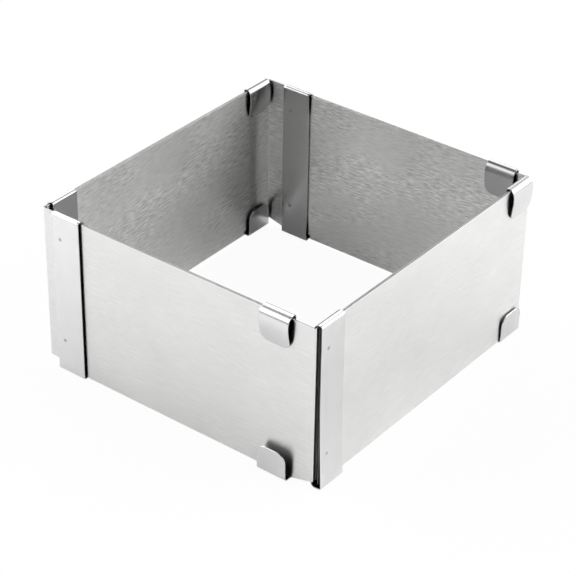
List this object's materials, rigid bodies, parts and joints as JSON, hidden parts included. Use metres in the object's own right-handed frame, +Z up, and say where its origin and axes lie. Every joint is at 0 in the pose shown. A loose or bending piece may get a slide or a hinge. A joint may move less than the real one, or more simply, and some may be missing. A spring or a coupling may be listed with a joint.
{
  "type": "adjustable cake frame",
  "caption": "Bottomless rectangular cake frame of bent steel sheets that telescope in width and depth, gripped by hooked straps.",
  "frame": {"origin": "centre of the overall box at the plane the frame stands on", "axes": "+Z up; +X to the right wall, along the width; +Y to the back wall, along the depth; the front wall faces -Y"},
  "size_m": [0.1656, 0.1736, 0.087],
  "materials": {
    "brushed_sheet": "fine brushed, grain along the walls",
    "strap_steel": "satin, bright at the folds",
    "weld_metal": "dull spot-weld metal"
  },
  "bodies": {
    "front_right_corner": {"front_right_sheet": "brushed_sheet", "front_outer_strap": "strap_steel", "front_outer_strap_weld_upper": "weld_metal", "front_outer_strap_weld_lower": "weld_metal", "right_inner_strap": "strap_steel", "right_inner_strap_weld_upper": "weld_metal", "right_inner_strap_weld_lower": "weld_metal"},
    "back_right_corner": {"back_right_sheet": "brushed_sheet", "right_outer_strap": "strap_steel", "right_outer_strap_weld_upper": "weld_metal", "right_outer_strap_weld_lower": "weld_metal", "back_inner_strap": "strap_steel", "back_inner_strap_weld_upper": "weld_metal", "back_inner_strap_weld_lower": "weld_metal"},
    "back_left_corner": {"back_left_sheet": "brushed_sheet", "back_outer_strap": "strap_steel", "back_outer_strap_weld_upper": "weld_metal", "back_outer_strap_weld_lower": "weld_metal", "left_inner_strap": "strap_steel", "left_inner_strap_weld_upper": "weld_metal", "left_inner_strap_weld_lower": "weld_metal"},
    "front_left_corner": {"front_left_sheet": "brushed_sheet", "left_outer_strap": "strap_steel", "left_outer_strap_weld_upper": "weld_metal", "left_outer_strap_weld_lower": "weld_metal", "front_inner_strap": "strap_steel", "front_inner_strap_weld_upper": "weld_metal", "front_inner_strap_weld_lower": "weld_metal"}
  },
  "joints": [
    {"name": "width_slide", "type": "slide", "parent": "front_right_corner", "child": "front_left_corner", "axis": [-1, 0, 0], "range_m": [-0.0045, 0.106]},
    {"name": "depth_slide", "type": "slide", "parent": "front_right_corner", "child": "back_right_corner", "axis": [0, 1, 0], "range_m": [0, 0.1287]},
    {"name": "left_depth_slide", "type": "slide", "parent": "front_left_corner", "child": "back_left_corner", "axis": [0, 1, 0], "range_m": [0, 0.1287]}
  ],
  "couplings": [
    {"joint": "left_depth_slide", "follows": "depth_slide", "ratio": 1}
  ]
}
